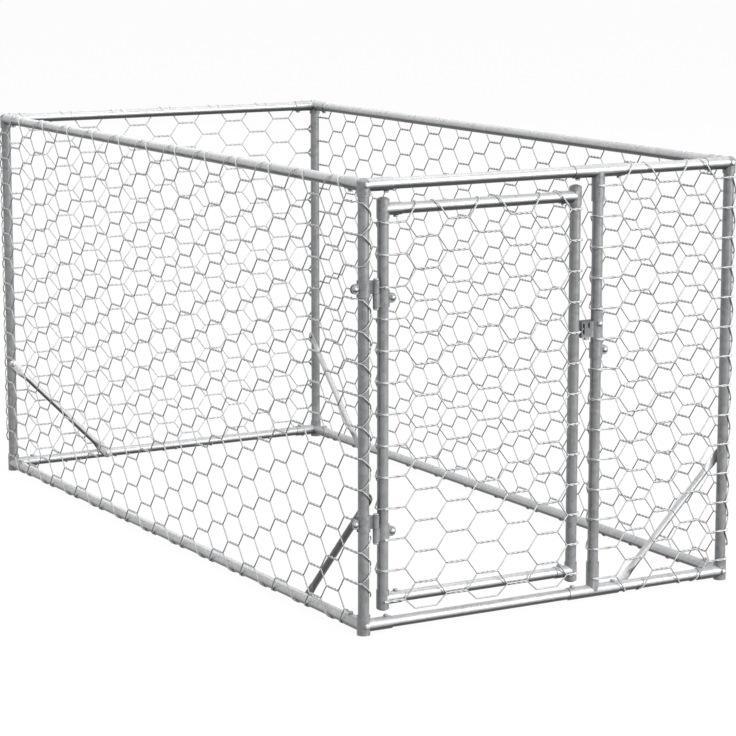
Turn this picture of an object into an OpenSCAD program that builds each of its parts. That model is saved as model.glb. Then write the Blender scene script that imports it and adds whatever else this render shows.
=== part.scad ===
// Outdoor dog kennel run: a galvanised tube frame with an open top, wire netting on
// all four sides and a hinged netting door in the short front side.
// Millimetres. The origin is on the ground in the middle, +Z is up, the door is on -Y.

/* [Overall] */
// Width across the corner connectors
overall_w = 1000; // [900:10:1500]
// Length across the corner connectors
overall_l = 2000; // [1200:10:3000]
// Height from the feet to the tops of the domes
overall_h = 1000; // [900:10:1800]

/* [Tubes] */
// Outer diameter of posts, rails and door tubes
tube_d = 25; // [22:0.5:28]
// Wall of those tubes
tube_wall = 1.2; // [0.8:0.1:2]

/* [Connectors] */
// Radial clearance of a tube in its socket
slip_gap = 0.2; // [0.1:0.05:0.4]
// Wall of the rail sleeves
sleeve_wall = 1.8; // [1.4:0.1:3]
// Wall of the upright collars that take the posts
collar_wall = 2.3; // [1.6:0.1:3.5]
// Reach of a rail sleeve from the corner axis
sleeve_reach = 68; // [50:1:80]
// Reach of a corner collar along its post from the rail axis
collar_reach = 24; // [20:1:40]
// Height of the bottom rail axis above the ground
foot_drop = 20; // [19:0.5:30]
// Thickness of the foot under a post
foot_wall = 3; // [2:0.5:6]
// Distance a post runs past the top rail axis
post_over = 8; // [4:0.5:10]
// Height of the dome over the end of a post
dome_rise = 7; // [4:0.5:9]
// Thickness left between a post and the floor of a rail socket
socket_floor = 2.3; // [1.5:0.1:4]

/* [Door] */
// Width of the fixed front panel, latch post axis to corner post axis
side_bay = 365; // [330:5:480]
// Distance from the hinge post axis to the hinge stile axis
hinge_side = 48; // [46:1:60]
// Distance from the latch stile axis to the latch post axis
latch_side = 61; // [58:1:70]
// Distance from the top rail axis down to the door's top rail axis
door_top_gap = 54; // [46:1:90]
// Distance from the bottom rail axis up to the door's bottom rail axis
door_low_gap = 55; // [46:1:90]
// Length of a stile past its door rail axis
stile_over = 22; // [18:0.5:24]
// Rise of the domed cap on a stile end
stile_cap = 5; // [4:0.5:7]
// Wall of a door fitting round its stile
door_collar_wall = 1.5; // [1.4:0.1:2.5]
// Wall of a door fitting round its rail
door_sleeve_wall = 1.2; // [1:0.1:1.3]
// Reach of a door fitting's collar along the stile, towards the middle
door_collar = 20; // [18:1:40]
// Reach of a door fitting's rail socket from the stile axis
door_reach = 44; // [36:1:60]

/* [Hinges] */
// Height of the upper hinge's knuckle joint
hinge_high_z = 751; // [600:1:800]
// Clear height between the lower hinge's post knuckle and the end of the brace above it
hinge_brace_gap = 23; // [12:1:40]
// Distance of the pin axis in front of the tube axes
pin_ahead = 12; // [8:0.5:16]
// Diameter of the hinge pin
pin_d = 8; // [6:0.5:10]
// Radial running clearance on the pin
pin_gap = 0.08; // [0.04:0.01:0.1]
// Wall of a knuckle around its pin
knuckle_wall = 3; // [2:0.1:3.5]
// Height of one knuckle
knuckle_h = 30; // [20:1:36]
// Clearance between stacked faces that turn
face_gap = 0.4; // [0.3:0.05:0.8]
// Thickness of the web between a band and its knuckle
web_t = 5; // [3:0.5:7]
// Height of a head on the pin
pin_head_h = 4; // [2:0.5:5]
// Width of a pin head past the pin
pin_head_lip = 2; // [1:0.5:2.5]

/* [Clamp bands] */
// Thickness of a clamp band
band_t = 2.5; // [1.5:0.1:3]
// Height of a clamp band
band_h = 36; // [34:1:44]
// Clearance between a band and its tube
band_gap = 0.1; // [0.05:0.05:0.3]
// Length of the ears past the band
ear_len = 16; // [14:1:22]
// Thickness of one ear
ear_t = 3; // [2:0.5:4]
// Slot between the ears
ear_slot = 3; // [2:0.5:5]
// Height of the ears, which are rounded at their ends
ear_h = 22; // [18:1:30]
// Clear width between the bolt head and the band
ear_edge = 2; // [1:0.5:4]

/* [Latch] */
// Height of the slide bolt's axis
latch_z = 630; // [500:1:720]
// Diameter of the slide bolt
slide_d = 10; // [8:0.5:11]
// Length of the slide bolt
slide_len = 28; // [26:1:30]
// Radial clearance of the slide bolt in its housing
slide_gap = 0.1; // [0.05:0.01:0.1]
// Gap between the withdrawn bolt and the latch stile
tip_gap = 3; // [2:0.5:4]
// Travel of the slide bolt
throw = 14; // [10:0.5:15]
// Radial clearance of the slide bolt in the stile's hole
keeper_gap = 3; // [2:0.25:4]
// Distance of the knob's stem from the bolt's tip
stem_from_tip = 18.5; // [18:0.5:20]
// Diameter of the knob's stem
stem_d = 5; // [3:0.5:6]
// Diameter of the knob
knob_d = 13; // [9:0.5:15]
// Height of the knob
knob_h = 5.5; // [4:0.5:8]
// Clearance of the stem in its slot, and of the knob below the housing
stem_gap = 0.6; // [0.4:0.1:1]
// Height of the bolt's housing
housing_h = 38; // [26:1:44]
// Depth of the bolt's housing, front to back
housing_t = 18; // [17:0.5:22]
// Height of the saddle on the latch post
saddle_h = 74; // [60:1:90]
// Height of the saddle's top above the slide bolt axis
saddle_up = 41; // [34:1:50]
// Height of the bracket bolt above the slide bolt axis
bracket_bolt_up = 11; // [6:1:20]

/* [Braces] */
// Clear length of rail between a brace's end and the sleeve of the tee
brace_gap = 3; // [2:0.5:20]
// Outer diameter of the brace tube
brace_d = 16; // [12:0.5:18]
// Wall of the brace tube
brace_wall = 1.2; // [0.8:0.1:2]
// Width of a brace's flattened end
spade_w = 24; // [18:0.5:26]
// Thickness of a flattened end
spade_t = 3; // [2:0.5:4]
// Length from the screw to where the flattened end starts to open
spade_len = 32; // [30:1:50]
// Length over which the flattened end opens into the tube
flare_len = 24; // [16:1:40]

/* [Netting] */
// Width of one mesh of the netting sheet
mesh_w = 150; // [130:5:260]
// Height of one mesh
mesh_h = 135; // [120:5:240]
// Sideways run of a slanted strand
mesh_run = 42; // [20:1:50]
// Width of a strand
strand_w = 4; // [2:0.5:8]
// Thickness of the sheet
net_t = 2; // [1:0.5:3]
// Width of the sheet's border
net_border = 5; // [3:0.5:10]
// Clearance of the sheet from what it lies on
net_gap = 0.3; // [0.2:0.05:0.6]
// Distance of a sheet's end from a corner axis
net_inset = 10; // [9:0.5:20]

/* [Fasteners] */
// Diameter of screws and bolts
bolt_d = 6; // [4:0.5:6]
// Clearance of a bolt in its hole, on the radius
hole_gap = 0.2; // [0.1:0.05:0.4]
// Width of a bolt head or nut across its flats
head_w = 10; // [8:0.5:10]
// Height of a bolt head
head_h = 4; // [3:0.5:5]
// Height of a nut
nut_h = 5; // [3:0.5:6]
// Length of a screw under its head
screw_len = 12; // [8:1:12]
// Length of thread past a nut
bolt_tail = 2; // [1:0.5:4]
// Distance of a sleeve's screw from the sleeve's end
screw_inset = 12; // [8:1:16]

/* [Hidden] */
$fn = 64;
eps = 0.5;

tube_r = tube_d / 2;
bore_r = tube_r + slip_gap;
sleeve_r = bore_r + sleeve_wall;
collar_r = bore_r + collar_wall;
door_sleeve_r = bore_r + door_sleeve_wall;
door_collar_r = bore_r + door_collar_wall;
stop = bore_r + socket_floor;

post_x = overall_w / 2 - collar_r;
post_y = overall_l / 2 - collar_r;
low_z = foot_drop;
high_z = overall_h - post_over - dome_rise;

latch_post_x = post_x - side_bay;
hinge_stile_x = hinge_side - post_x;
latch_stile_x = latch_post_x - latch_side;
door_top_z = high_z - door_top_gap;
door_low_z = low_z + door_low_gap;

band_r = tube_r + band_gap + band_t;
knuckle_r = pin_d / 2 + pin_gap + knuckle_wall;
pin_x = hinge_side / 2;
ear_bolt = band_r + head_w / 2 + ear_edge;

stile_face = latch_stile_x + tube_r;
tip_x = stile_face + tip_gap;
saddle_top = latch_z + saddle_up;
saddle_low = saddle_top - saddle_h;

skin = max(collar_r, band_r) + net_gap;
brace_out = tube_r + band_gap + spade_t / 2;
brace_leg = side_bay - sleeve_reach - spade_w / 2 - brace_gap;
brace_len = brace_leg * sqrt(2);
hinge_low_z = low_z + brace_leg - spade_w / 2 - hinge_brace_gap - knuckle_h;

hole_r = bolt_d / 2 + hole_gap;
head_r = head_w / 2 / cos(30);
screw_at = sleeve_reach - screw_inset;
door_screw_at = door_reach - screw_inset;

zinc = [0.70, 0.71, 0.72];
zinc_dark = [0.60, 0.61, 0.62];
zinc_bright = [0.80, 0.81, 0.82];
wire = [0.76, 0.77, 0.78];

// Corners in turn from front left, with the turn that points their sleeves inwards
corners = [
  ["front_left", -1, -1, 0],
  ["front_right", 1, -1, 90],
  ["rear_right", 1, 1, 180],
  ["rear_left", -1, 1, 270]
];
front_left = 0;
front_right = 1;
rear_right = 2;
rear_left = 3;

// Shared shapes

module along_x() {
  rotate([0, 90, 0]) children();
}

module along_y() {
  rotate([-90, 0, 0]) children();
}

// Tube on +Z from the origin
module tube(len, d = tube_d, wall = tube_wall) {
  difference() {
    cylinder(d = d, h = len);
    translate([0, 0, -eps]) cylinder(d = d - 2 * wall, h = len + 2 * eps);
  }
}

// Clearance hole for a bolt, from the origin along +Z
module bolt_hole(len) {
  cylinder(r = hole_r, h = len);
}

// Hexagon head on the origin plane with its shank down -Z
module bolt(len) {
  cylinder(r = head_r, h = head_h, $fn = 6);
  translate([0, 0, -len]) cylinder(d = bolt_d, h = len + eps);
}

// Nut that sits on the origin plane, up +Z
module nut() {
  difference() {
    cylinder(r = head_r, h = nut_h, $fn = 6);
    translate([0, 0, -eps]) cylinder(r = hole_r, h = nut_h + 2 * eps);
  }
}

// Copies the children to a corner, turned so that its sleeves lie on +X and +Y
module at_corner(index) {
  c = corners[index];
  translate([c[1] * post_x, c[2] * post_y, 0]) rotate(c[3]) children();
}

// Posts and rails

// Corner post with the holes for its lock bolts and its brace screw
module corner_post(index) {
  color(zinc) difference() {
    at_corner(index) translate([0, 0, foot_wall]) tube(high_z + post_over - foot_wall);
    for (z = [low_z, high_z]) at_corner(index) translate([0, 0, z]) lock_hole(index);
    at_brace(index) brace_post_hole();
  }
}

module post_latch() {
  color(zinc) difference() {
    translate([latch_post_x, -post_y, low_z + stop]) tube(high_z - low_z - 2 * stop);
    for (z = [low_z + screw_at, high_z - screw_at]) translate([latch_post_x, -post_y, z])
      along_y() bolt_hole(collar_r);
    translate([latch_post_x, -post_y - collar_r, latch_z + bracket_bolt_up])
      along_y() bolt_hole(2 * collar_r);
  }
}

// Screw holes near both ends of a tube on +Z, on its +X side
module end_screw_holes(len, from_end) {
  for (z = [from_end, len - from_end]) translate([0, 0, z]) along_x() bolt_hole(collar_r);
}

// Rail on +Z with its screw holes on +X
module rail_blank(span, reach) {
  len = span - 2 * stop;
  difference() {
    tube(len);
    end_screw_holes(len, reach - stop);
  }
}

// Rail along X between two post axes, screw holes towards up (1) or down (-1)
module rail_x(x0, x1, y, z, up) {
  color(zinc) translate([x0 + stop, y, z]) rotate([0, 90, 0]) rotate(up > 0 ? 180 : 0)
    rail_blank(x1 - x0, screw_at);
}

// Rail along Y on side -1 left or 1 right, screw holes as above; a bottom rail carries a brace
module rail_y(side, z, up) {
  brace = side > 0 ? rear_right : front_left;
  color(zinc) difference() {
    translate([side * post_x, stop - post_y, z]) rotate([-90, 0, 0]) rotate(up > 0 ? -90 : 90)
      rail_blank(2 * post_y, screw_at);
    if (up > 0) at_brace(brace) brace_rail_hole();
  }
}

module rail_low_rear() {
  color(zinc) difference() {
    rail_x(-post_x, post_x, post_y, low_z, 1);
    at_brace(rear_left) brace_rail_hole();
  }
}

module rail_low_side() {
  color(zinc) difference() {
    rail_x(latch_post_x, post_x, -post_y, low_z, 1);
    at_brace(front_right) brace_rail_hole();
  }
}

// Connectors

// Two rail sleeves on +X and +Y at the height of the origin
module sleeves() {
  along_x() cylinder(r = sleeve_r, h = sleeve_reach);
  along_y() cylinder(r = sleeve_r, h = sleeve_reach);
}

// Sockets and screw holes of those sleeves, screws towards up (1) or down (-1)
module sleeve_sockets(up) {
  translate([stop, 0, 0]) along_x() cylinder(r = bore_r, h = sleeve_reach);
  translate([0, stop, 0]) along_y() cylinder(r = bore_r, h = sleeve_reach);
  for (at = [[screw_at, 0, 0], [0, screw_at, 0]]) translate(at)
    rotate([up > 0 ? 0 : 180, 0, 0]) bolt_hole(collar_r);
}

// Lock bolt hole through the outward side of a collar
module lock_hole(index) {
  rotate(-corners[index][3]) rotate([-90 * corners[index][2], 0, 0]) bolt_hole(2 * collar_r);
}

// Collar round a tube end, from reach below the origin to a shallow dome that ends at crown
module domed_collar(r, reach, crown, rise) {
  ball = (r * r + rise * rise) / (2 * rise);
  translate([0, 0, -reach]) cylinder(r = r, h = reach);
  intersection() {
    cylinder(r = r, h = crown);
    translate([0, 0, crown - ball]) sphere(r = ball);
  }
}

module corner_top(index) {
  color(zinc_dark) at_corner(index) translate([0, 0, high_z]) difference() {
    union() {
      domed_collar(collar_r, collar_reach, post_over + dome_rise, dome_rise);
      sleeves();
    }
    translate([0, 0, -collar_reach - eps]) cylinder(r = bore_r, h = collar_reach + eps + post_over);
    sleeve_sockets(-1);
    lock_hole(index);
  }
}

module corner_low(index) {
  color(zinc_dark) at_corner(index) translate([0, 0, low_z]) difference() {
    union() {
      translate([0, 0, -low_z]) cylinder(r = collar_r, h = low_z + collar_reach);
      sleeves();
    }
    translate([0, 0, foot_wall - low_z]) cylinder(r = bore_r, h = low_z - foot_wall + collar_reach + eps);
    sleeve_sockets(1);
    lock_hole(index);
  }
}

// Tee with its post socket towards up (1) or down (-1)
module tee(z, up) {
  color(zinc_dark) translate([latch_post_x, -post_y, z]) rotate([up > 0 ? 0 : 180, 0, 0]) difference() {
    union() {
      translate([-sleeve_reach, 0, 0]) along_x() cylinder(r = sleeve_r, h = 2 * sleeve_reach);
      cylinder(r = collar_r, h = sleeve_reach);
    }
    for (side = [0, 180]) rotate(side) {
      translate([stop, 0, 0]) along_x() cylinder(r = bore_r, h = sleeve_reach);
      translate([screw_at, 0, 0]) bolt_hole(collar_r);
    }
    translate([0, 0, stop]) cylinder(r = bore_r, h = sleeve_reach);
    translate([0, 0, screw_at]) rotate([-90 * up, 0, 0]) bolt_hole(2 * collar_r);
  }
}

// Braces

// Places children in a brace's plane: +X along the rail, +Z up, origin on the corner axes, -Y inwards
module at_brace(index) {
  turn = corners[index][3] + 90;
  translate([corners[index][1] * post_x, corners[index][2] * post_y, low_z]) rotate(turn) children();
}

module brace_post_hole() {
  translate([0, 0, brace_leg]) rotate([90, 0, 0]) bolt_hole(collar_r);
}

module brace_rail_hole() {
  translate([brace_leg, 0, 0]) rotate([90, 0, 0]) bolt_hole(collar_r);
}

// Flattened end: a round-ended plate with its screw hole on the origin, opening along +X into the tube
module spade() {
  difference() {
    union() {
      translate([0, 0, -spade_t / 2]) cylinder(d = spade_w, h = spade_t);
      translate([0, -spade_w / 2, -spade_t / 2]) cube([spade_len, spade_w, spade_t]);
    }
    translate([0, 0, -spade_t]) bolt_hole(2 * spade_t);
  }
  hull() {
    translate([spade_len - eps, -spade_w / 2, -spade_t / 2]) cube([eps, spade_w, spade_t]);
    translate([spade_len + flare_len, 0, 0]) along_x() cylinder(d = brace_d, h = eps, $fn = 32);
  }
}

module brace(index) {
  tube_from = spade_len + flare_len;
  color(zinc) at_brace(index) translate([0, -brace_out, brace_leg]) rotate([0, 45, 0]) rotate([90, 0, 0]) {
    spade();
    translate([brace_len, 0, 0]) rotate(180) spade();
    translate([tube_from, 0, 0]) along_x() tube(brace_len - 2 * tube_from, brace_d, brace_wall);
  }
}

// Netting

// One mesh opening for a cell with flat edge e and height h
module mesh_gap(e, h) {
  inset = strand_w / 2;
  half = h / 2;
  back = inset * sqrt(mesh_run * mesh_run + half * half) / half;
  tip = e / 2 + mesh_run - back;
  flat_end = e / 2 + mesh_run * inset / half - back;
  edge = half - inset;
  polygon([
    [tip, 0], [flat_end, edge], [-flat_end, edge],
    [-tip, 0], [-flat_end, -edge], [flat_end, -edge]
  ]);
}

// Sheet of netting on the XY plane from the origin
module net_sheet(len, high) {
  inner_w = len - 2 * net_border;
  inner_h = high - 2 * net_border;
  cols = max(2, round(inner_w / mesh_w));
  rows = max(2, round(inner_h / mesh_h));
  step_x = inner_w / cols;
  step_y = inner_h / rows;
  color(wire) linear_extrude(net_t) difference() {
    square([len, high]);
    translate([net_border, net_border]) intersection() {
      square([inner_w, inner_h]);
      for (c = [0:cols], r = [0:rows - (c + 1) % 2])
        translate([c * step_x, (r + 0.5 - 0.5 * (c % 2)) * step_y])
          mesh_gap(step_x - mesh_run, step_y);
    }
  }
}

// Sheet on a long side, side -1 left or 1 right
module net_long(side) {
  translate([side * (post_x + skin) + (side < 0 ? -net_t : 0), net_inset - post_y, low_z])
    rotate([90, 0, 90]) net_sheet(2 * (post_y - net_inset), high_z - low_z);
}

module net_rear() {
  translate([net_inset - post_x, post_y + skin + net_t, low_z])
    rotate([90, 0, 0]) net_sheet(2 * (post_x - net_inset), high_z - low_z);
}

module net_side() {
  translate([latch_post_x + net_inset, -post_y - skin, low_z])
    rotate([90, 0, 0]) net_sheet(post_x - latch_post_x - 2 * net_inset, high_z - low_z);
}

module net_door() {
  translate([hinge_stile_x, -post_y - skin, door_low_z])
    rotate([90, 0, 0]) net_sheet(latch_stile_x - hinge_stile_x, door_top_z - door_low_z);
}

// Door

module stile_blank(x) {
  translate([x, -post_y, door_low_z - stile_over]) tube(door_top_z - door_low_z + 2 * stile_over);
}

module door_hinge_stile() {
  color(zinc) stile_blank(hinge_stile_x);
}

// The latch stile has the keeper hole in the side that faces the latch
module door_latch_stile() {
  color(zinc) difference() {
    stile_blank(latch_stile_x);
    translate([latch_stile_x, -post_y, latch_z]) along_x()
      cylinder(r = slide_d / 2 + keeper_gap, h = collar_r);
  }
}

module door_rail(z, up) {
  color(zinc) translate([hinge_stile_x + stop, -post_y, z]) rotate([0, 90, 0]) rotate(up > 0 ? 180 : 0)
    rail_blank(latch_stile_x - hinge_stile_x, door_screw_at);
}

// Fitting on a door corner: rail socket towards side, stile end towards up
module door_corner(x, z, side, up) {
  color(zinc_dark) translate([x, -post_y, z]) rotate([up > 0 ? 0 : 180, 0, 0]) difference() {
    union() {
      domed_collar(door_collar_r, door_collar, stile_over + stile_cap, stile_cap);
      rotate(side > 0 ? 0 : 180) along_x() cylinder(r = door_sleeve_r, h = door_reach);
    }
    translate([0, 0, -door_collar - eps]) cylinder(r = bore_r, h = door_collar + eps + stile_over);
    rotate(side > 0 ? 0 : 180) {
      translate([stop, 0, 0]) along_x() cylinder(r = bore_r, h = door_reach);
      translate([door_screw_at, 0, 0]) rotate([180, 0, 0]) bolt_hole(collar_r);
    }
  }
}

// Clamp bands and hinges

// Both ears of a band in one block on -X, at half the band's height
module ear_block(reach) {
  translate([0, ear_slot / 2 + ear_t, band_h / 2]) rotate([90, 0, 0]) linear_extrude(ear_slot + 2 * ear_t) {
    translate([ear_h / 2 - reach, -ear_h / 2]) square([reach - ear_h / 2, ear_h]);
    translate([ear_h / 2 - reach, 0]) circle(d = ear_h);
  }
}

// Split ring on +Z with its ears on -X
module clamp_ring() {
  ear_reach = band_r + ear_len;
  difference() {
    union() {
      cylinder(r = band_r, h = band_h);
      ear_block(ear_reach);
    }
    translate([0, 0, -eps]) cylinder(r = tube_r + band_gap, h = band_h + 2 * eps);
    translate([-ear_reach - eps, -ear_slot / 2, -eps]) cube([ear_reach + eps, ear_slot, band_h + 2 * eps]);
    translate([-ear_bolt, -band_r, band_h / 2]) along_y() bolt_hole(2 * band_r);
  }
}

// Hinge band on +Z: its knuckle stands on the pin axis at the top of the band
module hinge_band() {
  knuckle_len = knuckle_h - face_gap / 2;
  difference() {
    union() {
      clamp_ring();
      translate([0, 0, band_h - knuckle_len]) difference() {
        union() {
          translate([pin_x, -pin_ahead, 0]) cylinder(r = knuckle_r, h = knuckle_len);
          rotate(atan2(-pin_ahead, pin_x)) translate([0, -web_t / 2, 0])
            cube([norm([pin_x, pin_ahead]), web_t, knuckle_len]);
        }
        translate([0, 0, -eps]) cylinder(r = tube_r + band_gap, h = knuckle_len + 2 * eps);
      }
    }
    translate([pin_x, -pin_ahead, -eps]) cylinder(r = pin_d / 2 + pin_gap, h = band_h + 2 * eps);
  }
}

module hinge_post_band(z) {
  color(zinc_dark) translate([-post_x, -post_y, z + knuckle_h - band_h]) hinge_band();
}

// The door's band is the same piece turned over
module hinge_door_band(z) {
  color(zinc_dark) translate([hinge_stile_x, -post_y, z - knuckle_h + band_h])
    mirror([0, 0, 1]) mirror([1, 0, 0]) hinge_band();
}

module pin_head() {
  cylinder(r = pin_d / 2 + pin_head_lip, h = pin_head_h);
}

// Pin with a head at each end, carrying the door's knuckle on the lower one
module hinge_pins() {
  low_end = knuckle_h + face_gap + pin_head_h;
  color(zinc_bright) for (z = [hinge_low_z, hinge_high_z])
    translate([hinge_stile_x - pin_x, -post_y - pin_ahead, z]) {
      translate([0, 0, -low_end]) cylinder(d = pin_d, h = low_end + knuckle_h + pin_head_h);
      translate([0, 0, -low_end]) pin_head();
      translate([0, 0, knuckle_h]) pin_head();
    }
}

// Latch

// Saddle on the front half of the latch post with the slide bolt's housing at its left
module latch_bracket() {
  back_x = latch_post_x - tip_x;
  color(zinc_dark) translate([latch_post_x, -post_y, 0]) difference() {
    union() {
      intersection() {
        translate([0, 0, saddle_low]) cylinder(r = band_r, h = saddle_h);
        translate([-band_r, -band_r, saddle_low]) cube([2 * band_r, band_r, saddle_h]);
      }
      translate([-back_x, -housing_t / 2, latch_z - housing_h / 2]) cube([back_x, housing_t, housing_h]);
    }
    translate([0, 0, saddle_low - eps]) cylinder(r = tube_r + band_gap, h = saddle_h + 2 * eps);
    translate([-back_x - eps, 0, latch_z]) along_x() cylinder(r = slide_d / 2 + slide_gap, h = back_x + eps);
    stem_slot(back_x);
    translate([0, -2 * band_r, latch_z + bracket_bolt_up]) along_y() bolt_hole(4 * band_r);
  }
}

// Slot under the housing in which the knob's stem travels
module stem_slot(back_x) {
  slot_r = stem_d / 2 + stem_gap;
  low = latch_z - housing_h / 2 - eps;
  first = stem_from_tip - throw - back_x;
  translate([first, 0, low]) cylinder(r = slot_r, h = housing_h / 2 + eps);
  translate([first + throw, 0, low]) cylinder(r = slot_r, h = housing_h / 2 + eps);
  translate([first, -slot_r, low]) cube([throw, 2 * slot_r, housing_h / 2 + eps]);
}

module latch_slide_bolt() {
  knob_top = -housing_h / 2 - stem_gap;
  color(zinc_bright) translate([tip_x, -post_y, latch_z]) {
    along_x() cylinder(d = slide_d, h = slide_len);
    translate([stem_from_tip, 0, knob_top - eps]) cylinder(d = stem_d, h = eps - knob_top);
    translate([stem_from_tip, 0, knob_top - knob_h]) cylinder(d = knob_d, h = knob_h);
  }
}

module latch_stop_band() {
  color(zinc_dark) translate([latch_post_x, -post_y, saddle_low - band_h]) rotate(180) clamp_ring();
}

// Fasteners

module rail_screws() {
  color(zinc_bright) {
    for (index = [0:3]) at_corner(index) for (at = [[screw_at, 0, 0], [0, screw_at, 0]]) {
      translate(at) translate([0, 0, low_z + sleeve_r]) bolt(screw_len);
      translate(at) translate([0, 0, high_z - sleeve_r]) rotate([180, 0, 0]) bolt(screw_len);
    }
    for (side = [-1, 1]) translate([latch_post_x + side * screw_at, -post_y, 0]) {
      translate([0, 0, low_z + sleeve_r]) bolt(screw_len);
      translate([0, 0, high_z - sleeve_r]) rotate([180, 0, 0]) bolt(screw_len);
    }
    for (z = [low_z + screw_at, high_z - screw_at]) translate([latch_post_x, collar_r - post_y, z])
      along_y() bolt(screw_len);
  }
}

module post_bolts() {
  color(zinc_bright) for (c = corners, z = [low_z, high_z])
    translate([c[1] * post_x, c[2] * (post_y + collar_r), z]) rotate([-90 * c[2], 0, 0]) bolt(screw_len);
}

module brace_screws() {
  color(zinc_bright) for (index = [0:3]) at_brace(index) translate([0, -brace_out - spade_t / 2, 0])
    for (at = [[0, 0, brace_leg], [brace_leg, 0, 0]]) translate(at) rotate([90, 0, 0]) bolt(screw_len);
}

module door_screws() {
  color(zinc_bright) for (x = [hinge_stile_x + door_screw_at, latch_stile_x - door_screw_at]) {
    translate([x, -post_y, door_low_z + door_sleeve_r]) bolt(screw_len);
    translate([x, -post_y, door_top_z - door_sleeve_r]) rotate([180, 0, 0]) bolt(screw_len);
  }
}

// Places children on the front face of a band's ears, +Z forwards; side -1 has ears on -X
module at_ears(x, z, side) {
  translate([x + side * ear_bolt, -post_y - ear_slot / 2 - ear_t, z]) rotate([90, 0, 0]) children();
}

// Places children on the back face of those ears, +Z backwards
module behind_ears(x, z, side) {
  translate([x + side * ear_bolt, -post_y + ear_slot / 2 + ear_t, z]) rotate([-90, 0, 0]) children();
}

function post_band_z(z) = z + knuckle_h - band_h / 2;
function door_band_z(z) = z - knuckle_h + band_h / 2;
ear_bolt_len = ear_slot + 2 * ear_t + nut_h + bolt_tail;
stop_band_z = saddle_low - band_h / 2;

module frame_clamp_bolts() {
  color(zinc_bright) {
    for (z = [hinge_low_z, hinge_high_z]) at_ears(-post_x, post_band_z(z), -1) bolt(ear_bolt_len);
    at_ears(latch_post_x, stop_band_z, 1) bolt(ear_bolt_len);
  }
}

module frame_nuts() {
  color(zinc_bright) {
    for (z = [hinge_low_z, hinge_high_z]) behind_ears(-post_x, post_band_z(z), -1) nut();
    behind_ears(latch_post_x, stop_band_z, 1) nut();
    translate([latch_post_x, tube_r - post_y, latch_z + bracket_bolt_up]) rotate([-90, 0, 0]) nut();
  }
}

module door_clamp_bolts() {
  color(zinc_bright) for (z = [hinge_low_z, hinge_high_z])
    at_ears(hinge_stile_x, door_band_z(z), 1) bolt(ear_bolt_len);
}

module door_nuts() {
  color(zinc_bright) for (z = [hinge_low_z, hinge_high_z])
    behind_ears(hinge_stile_x, door_band_z(z), 1) nut();
}

module latch_bracket_bolt() {
  color(zinc_bright) translate([latch_post_x, -post_y - band_r, latch_z + bracket_bolt_up])
    rotate([90, 0, 0]) bolt(band_r + tube_r + nut_h + bolt_tail);
}

corner_post(front_left);  // post_front_left
corner_post(front_right);  // post_front_right
corner_post(rear_left);  // post_rear_left
corner_post(rear_right);  // post_rear_right
post_latch();
rail_y(-1, high_z, -1);  // rail_top_left
rail_y(1, high_z, -1);  // rail_top_right
rail_x(-post_x, post_x, post_y, high_z, -1);  // rail_top_rear
rail_x(-post_x, latch_post_x, -post_y, high_z, -1);  // rail_top_door
rail_x(latch_post_x, post_x, -post_y, high_z, -1);  // rail_top_side
rail_y(-1, low_z, 1);  // rail_low_left
rail_y(1, low_z, 1);  // rail_low_right
rail_low_rear();
rail_x(-post_x, latch_post_x, -post_y, low_z, 1);  // rail_low_door
rail_low_side();
corner_top(front_left);  // corner_top_front_left
corner_top(front_right);  // corner_top_front_right
corner_top(rear_left);  // corner_top_rear_left
corner_top(rear_right);  // corner_top_rear_right
corner_low(front_left);  // corner_low_front_left
corner_low(front_right);  // corner_low_front_right
corner_low(rear_left);  // corner_low_rear_left
corner_low(rear_right);  // corner_low_rear_right
tee(high_z, -1);  // tee_top
tee(low_z, 1);  // tee_low
brace(front_left);  // brace_left
brace(front_right);  // brace_front
brace(rear_right);  // brace_right
brace(rear_left);  // brace_rear
net_long(-1);  // net_left
net_long(1);  // net_right
net_rear();
net_side();
net_door();
door_hinge_stile();
door_latch_stile();
door_rail(door_top_z, -1);  // door_rail_top
door_rail(door_low_z, 1);  // door_rail_low
door_corner(hinge_stile_x, door_top_z, 1, 1);  // door_corner_top_hinge
door_corner(latch_stile_x, door_top_z, -1, 1);  // door_corner_top_latch
door_corner(hinge_stile_x, door_low_z, 1, -1);  // door_corner_low_hinge
door_corner(latch_stile_x, door_low_z, -1, -1);  // door_corner_low_latch
hinge_post_band(hinge_high_z);  // hinge_post_band_upper
hinge_post_band(hinge_low_z);  // hinge_post_band_lower
hinge_door_band(hinge_high_z);  // hinge_door_band_upper
hinge_door_band(hinge_low_z);  // hinge_door_band_lower
hinge_pins();
latch_bracket();
latch_stop_band();
latch_slide_bolt();
rail_screws();
post_bolts();
brace_screws();
door_screws();
frame_clamp_bolts();
frame_nuts();
door_clamp_bolts();
door_nuts();
latch_bracket_bolt();
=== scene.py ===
"""Outdoor dog kennel run: netting, fittings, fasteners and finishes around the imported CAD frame."""

import logging
import math
from collections.abc import Callable
from dataclasses import dataclass, field
from enum import Enum
from typing import ClassVar

import bmesh
import bpy
from mathutils import Matrix, Vector


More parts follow.
